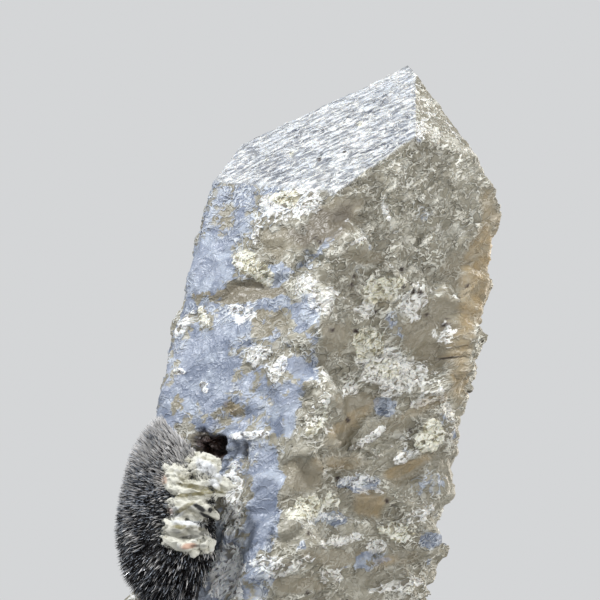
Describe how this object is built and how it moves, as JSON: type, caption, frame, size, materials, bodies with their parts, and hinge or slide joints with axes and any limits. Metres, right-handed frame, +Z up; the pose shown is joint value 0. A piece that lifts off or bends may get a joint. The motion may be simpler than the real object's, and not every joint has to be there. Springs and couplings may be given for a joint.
{
  "type": "quartz crystal specimen",
  "caption": "Stout leaning quartz point with stepped interference faces, a tuft of black needles and a cream crust, cut off flat at its broken base.",
  "frame": {"origin": "middle of the flat broken base, on the large crystal's long axis", "axes": "+Z up from the surface the base stands on, +X to the viewer's right, +Y away from the viewer"},
  "size_m": [0.0563, 0.0548, 0.0908],
  "materials": {
    "frosted_quartz": "etched, frosted and milky, with cream clay in its hollows",
    "black_needles": "vitreous black needles with silver glints",
    "cream_clay": "earthy, matt, lumpy"
  },
  "bodies": {
    "root": {"quartz_crystal": "frosted_quartz", "needle_tuft": "black_needles", "cream_crust": "cream_clay"}
  },
  "joints": []
}
